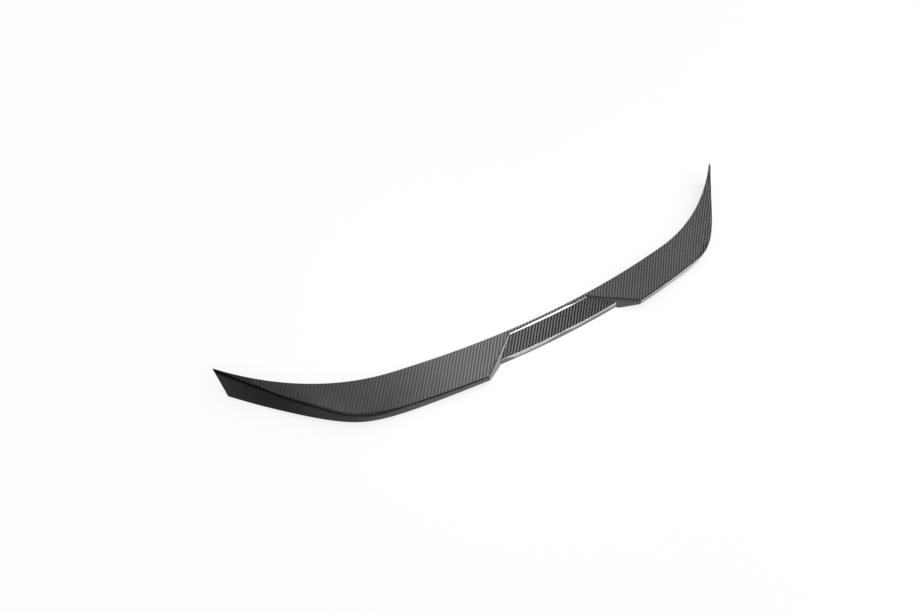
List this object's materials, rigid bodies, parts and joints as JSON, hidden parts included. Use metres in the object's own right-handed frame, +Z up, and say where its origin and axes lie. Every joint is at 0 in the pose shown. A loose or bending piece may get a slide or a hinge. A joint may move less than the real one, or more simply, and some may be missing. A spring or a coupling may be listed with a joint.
{
  "type": "car rear spoiler",
  "caption": "Thin bowed lip spoiler bonded to the rear edge of a car's boot lid: raised wings with swept-forward ends beside a low bevelled centre, moulded as a shell open below.",
  "frame": {"origin": "Bottom centre of the bounding box, on the surface that the loose part lies on: it stands on the wing feet beside the notch and on the lower corners of its ends.", "axes": "+X runs across the car along the long side, +Y points to the car's front, where the ends sweep to, and +Z points up from the surface that the loose part lies on."},
  "size_m": [1.249, 0.2132, 0.0356],
  "materials": {
    "carbon_laminate": "clear-coated 2x2 twill carbon fibre"
  },
  "bodies": {
    "root": {"spoiler_shell": "carbon_laminate"}
  },
  "joints": []
}
